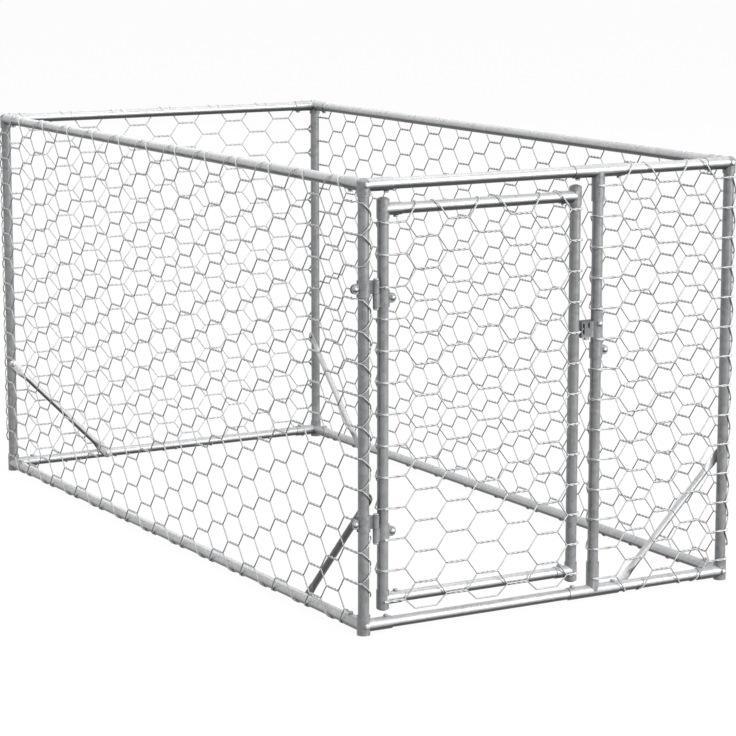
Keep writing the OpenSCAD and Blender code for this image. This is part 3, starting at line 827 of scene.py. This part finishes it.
def braces() -> list[Brace]:
    """List the four braces, of which the left one is painted dark grey as in shade."""
    corners = (("left", -POST_X, -POST_Y), ("front", POST_X, -POST_Y),
               ("right", POST_X, POST_Y), ("rear", -POST_X, POST_Y))
    return [Brace(f"brace_{side}", Body.FRAME, f"corner_brace_{side}", (x, y), 90 * quarter,
                  in_shade=side == "left") for quarter, (side, x, y) in enumerate(corners, 1)]


class Head(Enum):
    """Forms of fastener, as radius and height profiles from the seat outwards, in millimetres."""

    DOMED = [(3.0, -1.0), (7.4, 0.0), (7.5, 0.6), (7.3, 1.1), (5.9, 1.1), (5.8, 0.9), (6.4, 1.5),
             (6.3, 2.2), (5.5, 3.3), (3.9, 4.3), (2.0, 4.8), (0.0, 5.0)]
    FLANGE = [(3.0, -1.0), (6.2, 0.0), (6.4, 0.3), (6.2, 0.8), (5.0, 1.2), (3.0, 1.3), (0.0, 1.3)]
    TAIL = [(3.0, 0.0), (3.0, 6.2), (2.3, 7.0), (0.0, 7.0)]


@dataclass
class Fasteners(SubAssembly):
    """Set of like bolts, screws or nuts that stands for one CAD node."""

    name: str
    seats: list[tuple[Vector, Vector]]  # point in millimetres and the way the head stands
    domed: bool = False  # round domes, or else flanged hexagons
    tails: bool = False  # nuts with the threaded ends of their bolts
    hex_r: float = 5.7
    hex_h: float = 3.0
    hex_seat: float = 0.8
    nut_h: float = 5.0
    chamfer: float = 0.7  # width of the slope round a hexagon's top
    crown: float = 0.45  # and its height
    edge: float = 0.25
    spin: float = 17.0  # turn of the first fastener about its axis
    spin_step: float = 23.0  # and from each to the next
    slot: ClassVar[Slot] = Slot.HARDWARE

    def hexagon(self, height: float, bottom: float) -> Piece:
        """Model a hexagon with rounded-off corners.

        Args:
            height: Height of the hexagon in millimetres.
            bottom: Height of its lower face.

        Returns:
            The hexagon on the Z axis.
        """
        deselect()
        bpy.ops.mesh.primitive_cylinder_add(vertices=6, radius=self.hex_r * MM, depth=height * MM)
        block = bpy.context.object
        block.data.transform(Matrix.Translation((0, 0, (bottom + height / 2) * MM)))
        set_mode("EDIT")
        select_verts(block, lambda co: co.z > (bottom + height / 2) * MM)
        bpy.ops.mesh.inset(thickness=self.chamfer * MM)
        bpy.ops.transform.translate(value=(0, 0, self.crown * MM))
        set_mode("OBJECT")
        round_edges(block, self.edge, 20)
        smooth(block, 30)
        return block

    def master(self) -> Piece:
        """Model one fastener.

        Returns:
            The fastener with its seat at the origin and its head up +Z.
        """
        if self.domed:
            return lathe(Head.DOMED.value, 20)
        if self.tails:
            pieces = [self.hexagon(self.nut_h, 0), lathe(Head.TAIL.value, 12)]
        else:
            pieces = [self.hexagon(self.hex_h, self.hex_seat), lathe(Head.FLANGE.value, 16)]
        return join_pieces(pieces, "fastener")

    def build(self) -> Piece:
        """Copy the fastener to each seat, each turned a little differently.

        Returns:
            The set in place.
        """
        master = self.master()
        copies = []
        for index, (seat, outwards) in enumerate(self.seats):
            aim = outwards.to_track_quat("Z", "Y").to_matrix().to_4x4()
            spin = Matrix.Rotation(math.radians(self.spin + self.spin_step * index), 4, "Z")
            copies.append(copy_piece(master, self.name, Matrix.Translation(seat * MM) @ aim @ spin))
        bpy.data.objects.remove(master)
        return join_pieces(copies, self.name)


def fastener_sets() -> list[Fasteners]:
    """List every set of screws, bolts and nuts with its seats.

    Returns:
        The sets of the frame and the door.
    """
    up, down = Vector((0, 0, 1)), Vector((0, 0, -1))
    front, back = Vector((0, -1, 0)), Vector((0, 1, 0))
    rails = []
    for z, way in ((LOW_Z + SLEEVE_R, up), (HIGH_Z - SLEEVE_R, down)):
        spots = []
        for x in (-POST_X, POST_X):
            for y in (-POST_Y, POST_Y):
                spots += [(x - math.copysign(SCREW_AT, x), y), (x, y - math.copysign(SCREW_AT, y))]
        spots += [(LATCH_POST_X + side, -POST_Y) for side in (-SCREW_AT, SCREW_AT)]
        rails += [(Vector((*spot, z)), way) for spot in spots]
    rails += [(Vector((LATCH_POST_X, COLLAR_R - POST_Y, z)), back)
              for z in (LOW_Z + SCREW_AT, HIGH_Z - SCREW_AT)]
    posts = [(Vector((x, side * (POST_Y + COLLAR_R), z)), Vector((0, side, 0)))
             for x in (-POST_X, POST_X) for side in (-1, 1) for z in (LOW_Z, HIGH_Z)]
    struts = []
    for brace in braces():
        turn = Matrix.Rotation(math.radians(brace.turn), 3, "Z")
        corner = Vector((*brace.corner, LOW_Z))
        for at in ((0, 0, BRACE_LEG), (BRACE_LEG, 0, 0)):
            seat = Vector(at) - Vector((0, BRACE_OUT + brace.half_flat, 0))
            struts.append((corner + turn @ seat, turn @ front))
    door = [(Vector((x, -POST_Y, z)), way)
            for x in (HINGE_STILE_X + DOOR_SCREW_AT, LATCH_STILE_X - DOOR_SCREW_AT)
            for z, way in ((DOOR_LOW_Z + DOOR_SLEEVE_R, up), (DOOR_TOP_Z - DOOR_SLEEVE_R, down))]
    post_ears = [Vector((-POST_X - EAR_BOLT, -POST_Y, sum(band) / 2)) for band in POST_BANDS]
    post_ears.append(Vector((LATCH_POST_X + EAR_BOLT, -POST_Y, SADDLE_LOW_Z - BAND_H / 2)))
    door_ears = [Vector((HINGE_STILE_X + EAR_BOLT, -POST_Y, sum(band) / 2)) for band in STILE_BANDS]
    ear = Vector((0, EAR_FACE, 0))
    head, nut = (Vector((LATCH_POST_X, -POST_Y + out, BRACKET_BOLT_Z))
                 for out in (-BRACKET_FRONT, TUBE_R))
    made = [
        Fasteners("rail_screws", Body.FRAME, "rail_lock_screws", rails),
        Fasteners("post_bolts", Body.FRAME, "post_lock_bolts", posts),
        Fasteners("brace_screws", Body.FRAME, "brace_end_screws", struts),
        Fasteners("door_screws", Body.DOOR, "door_corner_screws", door),
    ]
    for body, tube, ears, more in ((Body.FRAME, "post", post_ears, [(nut, back)]),
                                   (Body.DOOR, "stile", door_ears, [])):
        bolts = [(place - ear, front) for place in ears]
        nuts = [(place + ear, back) for place in ears] + more
        made += [Fasteners(f"{body.value}_clamp_bolts", body, f"{tube}_band_bolts", bolts, domed=True),
                 Fasteners(f"{body.value}_nuts", body, f"{tube}_band_nuts", nuts, tails=True)]
    bolt = [(head, front)]
    return made + [Fasteners("latch_bracket_bolt", Body.FRAME, "bracket_bolt", bolt, domed=True)]


@dataclass
class PressedFitting(SubAssembly):
    """Fitting with the form of its CAD node, its sharp edges rounded as pressing leaves them."""

    body: Body = Body.FRAME
    slot: Slot = Slot.FITTING
    edge: float = 0.6  # width of the rounded edges
    collar: Pair | None = None  # its axis on the ground plan
    recess: tuple[Vector, Vector] | None = None  # box round a front face that is pressed in
    windows: tuple[Triple, ...] = ()  # place along X, lower and upper end
    window_r: float = 2.3
    window_depth: float = 6.0
    window_sill: float = 2.7  # depth of the first face that is a window's
    rim: float = 4.0  # left round the pressed face
    panel_depth: float = 1.6
    collar_room: float = 0.5  # from the collar to the first face of a sleeve

    def press_recess(self, piece: Piece) -> None:
        """Press a panel into the front face that lies in the recess box.

        Args:
            piece: Fitting in edit mode.
        """
        low, high = self.recess
        bpy.ops.mesh.select_mode(type="FACE")
        mesh = bmesh.from_edit_mesh(piece.data)
        for face in mesh.faces:
            middle = face.calc_center_median() / MM
            inside = all(a <= m <= b for a, m, b in zip(low, middle, high))
            face.select_set(inside and face.normal.y < -0.99)
        bmesh.update_edit_mesh(piece.data)
        bpy.ops.mesh.inset(thickness=self.rim * MM)
        bpy.ops.transform.translate(value=(0, self.panel_depth * MM, 0))

    def cut_windows(self, piece: Piece) -> None:
        """Cut the upright windows with round ends into the front face.

        Args:
            piece: Fitting with its panel pressed in.
        """
        for along, low, high in self.windows:
            deselect()
            bpy.ops.mesh.primitive_cylinder_add(vertices=20, radius=self.window_r * MM,
                                                depth=2 * self.window_depth * MM,
                                                rotation=(math.pi / 2, 0, 0))
            cutter = bpy.context.object
            bpy.ops.object.transform_apply(location=False, rotation=True, scale=False)
            set_mode("EDIT")
            select_verts(cutter, lambda co: co.z > 0)
            bpy.ops.transform.translate(value=(0, 0, (high - low - 2 * self.window_r) * MM))
            set_mode("OBJECT")
            place = Vector((along, self.recess[0].y + 1, low + self.window_r))
            cutter.data.transform(Matrix.Translation(place * MM))
            apply_modifier(piece, "BOOLEAN", operation="DIFFERENCE", object=cutter, solver="EXACT")
            bpy.data.objects.remove(cutter)

    def dress_housing(self, made: Piece, *finishes: Finish) -> None:
        """Give the housing's pressed face its darker painted shade, and its windows and top their dark
        one.

        Args:
            made: The fitting.
            finishes: Finish of the fitting, of the pressed face, painted darker as shade, and of the
                windows and top, painted dark as shade in the windows.
        """
        coat(made, *finishes)
        low, high = self.recess
        for face in made.data.polygons:
            place = face.center / MM
            if not (low.x < place.x < high.x - COLLAR_R and low.z < place.z < high.z):
                continue
            sunk = place.y > low.y + self.window_sill and any(
                abs(place.x - along) < self.window_r + 0.1 and bottom < place.z < top
                for along, bottom, top in self.windows)
            # Painted shade in the windows, and the same dark grey on the top
            if face.normal.z > 0.8 or sunk:
                face.material_index = 2
            elif face.normal.y < -0.5:
                face.material_index = 1

    def build(self) -> Piece:
        """Copy the node's mesh, merge it and round its edges.

        Returns:
            The fitting in place.
        """
        name = f"{self.node}_pressed"
        made = copy_piece(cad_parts[self.node], name, Matrix.Identity(4))
        active_only(made)
        if made.data.has_custom_normals:
            bpy.ops.mesh.customdata_custom_splitnormals_clear()
        set_mode("EDIT")
        bpy.ops.mesh.select_all(action="SELECT")
        bpy.ops.mesh.remove_doubles(threshold=0.005 * MM)
        bpy.ops.mesh.dissolve_limited(angle_limit=math.radians(0.5))
        if self.recess:
            self.press_recess(made)
        set_mode("OBJECT")
        round_edges(made, self.edge, 38)
        self.cut_windows(made)
        smooth(made, 30)
        apply_modifier(made, "WEIGHTED_NORMAL", keep_sharp=True)
        return made

    def dress(self, made: Piece, finish: Finish, sleeve: Finish, panel: Finish, recess_shade: Finish) -> None:
        """Give the fitting its finish, and its housing or the sleeves beyond its collar theirs.

        Args:
            made: The fitting.
            finish: General finish.
            sleeve: Finish of its rail sleeves, painted lighter than the collar to stand for the light
                on them.
            panel: Finish of a housing's pressed face, painted darker as shade in the recess.
            recess_shade: Dark finish of a housing's windows and top, painted shade in the windows and
                the same dark on the top.
        """
        if self.windows:
            self.dress_housing(made, finish, panel, recess_shade)
        elif self.collar:
            coat(made, finish, sleeve)
            # Sleeves beyond the collar take the lighter finish that paints the light on them
            axis, verts = Vector(self.collar) * MM, made.data.vertices
            for face in made.data.polygons:
                reach = max((verts[index].co.xy - axis).length for index in face.vertices)
                face.material_index = int(reach > (COLLAR_R + self.collar_room) * MM)
        else:
            coat(made, finish)


def pressed_fittings() -> list[PressedFitting]:
    """List the fittings that get rounded edges.

    Returns:
        The connectors, clamp bands, latch pieces and hinge pins.
    """
    cast, stout = 0.7, 0.8
    made = []
    for level in ("top", "low"):
        for end, y in (("front", -POST_Y), ("rear", POST_Y)):
            for side, x in (("left", -POST_X), ("right", POST_X)):
                made.append(PressedFitting(f"corner_{level}_{end}_{side}", edge=cast, collar=(x, y)))
        made.append(PressedFitting(f"tee_{level}", edge=cast, collar=(LATCH_POST_X, -POST_Y)))
        for side, x in (("hinge", HINGE_STILE_X), ("latch", LATCH_STILE_X)):
            made.append(PressedFitting(f"door_corner_{level}_{side}", Body.DOOR, edge=cast,
                                       collar=(x, -POST_Y)))
    for level in ("upper", "lower"):
        made += [PressedFitting(f"hinge_post_band_{level}"),
                 PressedFitting(f"hinge_door_band_{level}", Body.DOOR)]
    housing = (Vector((LATCH_POST_X - 50, -POST_Y - 10, HOUSING_LOW_Z)),
               Vector((LATCH_POST_X, -POST_Y - 8, HOUSING_TOP_Z)))
    windows = ((81.5, 619, 643), (95.5, 632, 645))
    return made + [
        PressedFitting("latch_bracket", edge=stout, recess=housing, windows=windows),
        PressedFitting("latch_stop_band"),
        PressedFitting("hinge_pins", slot=Slot.HARDWARE, edge=stout),
        PressedFitting("latch_slide_bolt", Body.LATCH, Slot.HARDWARE, stout),
    ]


@dataclass
class TubeFrame:
    """Posts, rails and stiles, whose CAD form is the real one and only needs its finish."""

    upright: tuple[str, ...] = ("post_", "door_hinge_stile", "door_latch_stile")
    across: tuple[str, ...] = ("_rear", "_door", "_side", "door_rail_top", "door_rail_low")

    def grain_of(self, node: str) -> Grain:
        """Say which way a tube was drawn, from the name of its node."""
        if node.startswith(self.upright):
            return Grain.UPRIGHT
        return Grain.ALONG_X if node.endswith(self.across) else Grain.ALONG_Y

    def install(self, finishes: dict[Grain, Finish]) -> None:
        """Dress every tube that stays as CAD made it.

        Args:
            finishes: Tube finish for each drawing direction.
        """
        for name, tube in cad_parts.items():
            if tube.hide_render:
                continue
            coat(tube, finishes[self.grain_of(name)])
            log.info("%s: %s", name, self.grain_of(name).name)


@dataclass
class Studio:
    """Pale floor, soft lights and the photograph's camera."""

    eye: Triple = (-3.3021, -5.8764, 1.5877)
    heading: float = 30.037  # from +Y towards +X, in degrees
    pitch: float = 10.011  # downwards
    focal_px: float = 2672.1  # focal length in pixels of the photograph
    frame_px: float = 736.0  # and the photograph's width
    sensor: float = 36.0
    floor_size: float = 160.0
    floor_drop: float = 0.2
    floor_seen: str = "#505050"
    floor_unseen: str = "#404040"
    floor_lift: float = 0.95
    glow: float = 0.3
    aim_z: float = 0.5  # height that the lamps face
    lamps: tuple[tuple[str, Triple, float, float], ...] = (  # name, place, side and power
        ("overhead_softbox", (0.8, -0.4, 8.5), 6.5, 220),
        ("front_right_softbox", (6.7, -12.1, 4.8), 9.6, 1590),
        ("left_fill", (-7.5, 1.0, 4.5), 6.0, 150),
        ("rear_fill", (1.5, 10.5, 4.0), 7.0, 120),
    )

    def by_ray(self, tree: Tree, unseen: Node, shown: Node) -> Socket:
        """Mix two shaders by whether a camera, glossy or transmission ray sees them.

        Args:
            tree: Node tree that takes the mix.
            unseen: Shader that only gives light.
            shown: Shader for the rays that see it.

        Returns:
            Output of the mix.
        """
        rays = add_node(tree, "LightPath").outputs
        seen = rays["Is Camera Ray"]
        for ray in ("Is Glossy Ray", "Is Transmission Ray"):
            seen = add_node(tree, "Math", {0: seen, 1: rays[ray]}, operation="MAXIMUM").outputs[0]
        mix = add_node(tree, "MixShader", {0: seen, 1: unseen.outputs[0], 2: shown.outputs[0]})
        return mix.outputs[0]

    def build_world(self) -> None:
        """White surroundings for the eye, a softer level for the light they give."""
        world = bpy.data.worlds.new("studio")
        world.use_nodes = True
        bpy.context.scene.world = world
        tree = world.node_tree
        tree.nodes.clear()
        glow, shown = (add_node(tree, "Background", {"Color": linear(WHITE), "Strength": strength})
                       for strength in (self.glow, 1.0))
        add_node(tree, "OutputWorld", {"Surface": self.by_ray(tree, glow, shown)})

    def build_floor(self) -> None:
        """Plain pale floor that shows white and keeps the shadow."""
        deselect()
        bpy.ops.mesh.primitive_plane_add(size=self.floor_size, location=(0, 0, 0))
        floor = bpy.context.object
        floor.name = "studio_floor"
        floor.data.transform(Matrix.Translation((0, 0, -self.floor_drop * MM)))
        paper = bpy.data.materials.new("matt_white_paper")
        paper.use_nodes = True
        tree = paper.node_tree
        tree.nodes.clear()
        pale, dull = (add_node(tree, "BsdfDiffuse", {"Color": linear(grey)})
                      for grey in (self.floor_seen, self.floor_unseen))
        lift = add_node(tree, "Emission", {"Color": linear(WHITE), "Strength": self.floor_lift})
        shown = add_node(tree, "AddShader", {0: pale.outputs[0], 1: lift.outputs[0]})
        add_node(tree, "OutputMaterial", {"Surface": self.by_ray(tree, dull, shown)})
        coat(floor, paper)

    def build_lamps(self) -> None:
        """Add the square soft lights, each facing the kennel's middle."""
        for name, place, size, watts in self.lamps:
            light = bpy.data.lights.new(name, "AREA")
            light.shape, light.size, light.energy = "SQUARE", size, watts
            lamp = add_object(name, light)
            lamp.location = place
            aim = Vector((0, 0, self.aim_z)) - Vector(place)
            lamp.rotation_euler = aim.to_track_quat("-Z", "Y").to_euler()

    def build_camera(self) -> None:
        """Put the camera where the photograph was taken from."""
        lens = bpy.data.cameras.new("photo_camera")
        lens.sensor_width = self.sensor
        lens.lens = self.focal_px / self.frame_px * self.sensor
        lens.clip_end = 2 * self.floor_size
        camera = add_object("photo_camera", lens)
        camera.location = self.eye
        camera.rotation_euler = (math.radians(90 - self.pitch), 0, math.radians(-self.heading))
        bpy.context.scene.camera = camera

    def build(self) -> None:
        """Set up the whole studio."""
        bpy.context.scene.view_settings.view_transform = "Standard"
        self.build_world()
        self.build_floor()
        self.build_lamps()
        self.build_camera()


def main() -> None:
    """Build, dress and report every piece, then set up the studio."""
    logging.basicConfig(level=logging.INFO, format="%(message)s")
    finishes = {Slot.FITTING: CAST_ZINC.material(), Slot.HARDWARE: PLATED_ZINC.material()}
    # Rails take the lighter tube colour that stands for the light on their tops; posts and stiles the
    # darker
    drawn = {grain: LIT_RAIL_ZINC.material(grain) for grain in (Grain.ALONG_X, Grain.ALONG_Y)}
    drawn[Grain.UPRIGHT] = POST_ZINC.material(Grain.UPRIGHT)
    sleeve = LIT_SLEEVE_ZINC.material()
    # Braces painted light, or dark grey for the one whose side is in shade
    lit_brace, shaded_brace = LIT_BRACE_ZINC.material(), SHADED_BRACE_ZINC.material()
    # Painted shade on the latch housing's pressed face, windows and top
    housing = (SHADED_PANEL_ZINC.material(), SHADED_RECESS_ZINC.material())
    wire, wraps = WIRE_ZINC.material(), WRAP_ZINC.material()
    for sheet in netting_sheets():
        sheet.install(wraps if sheet.pale else wire, wraps)
    for brace in braces():
        brace.install(shaded_brace if brace.in_shade else lit_brace)
    for kit in fastener_sets():
        kit.install(finishes[Slot.HARDWARE])
    for fitting in pressed_fittings():
        fitting.install(finishes[fitting.slot], sleeve, *housing)
    TubeFrame().install(drawn)
    Studio().build()


if __name__ == "__main__":
    main()
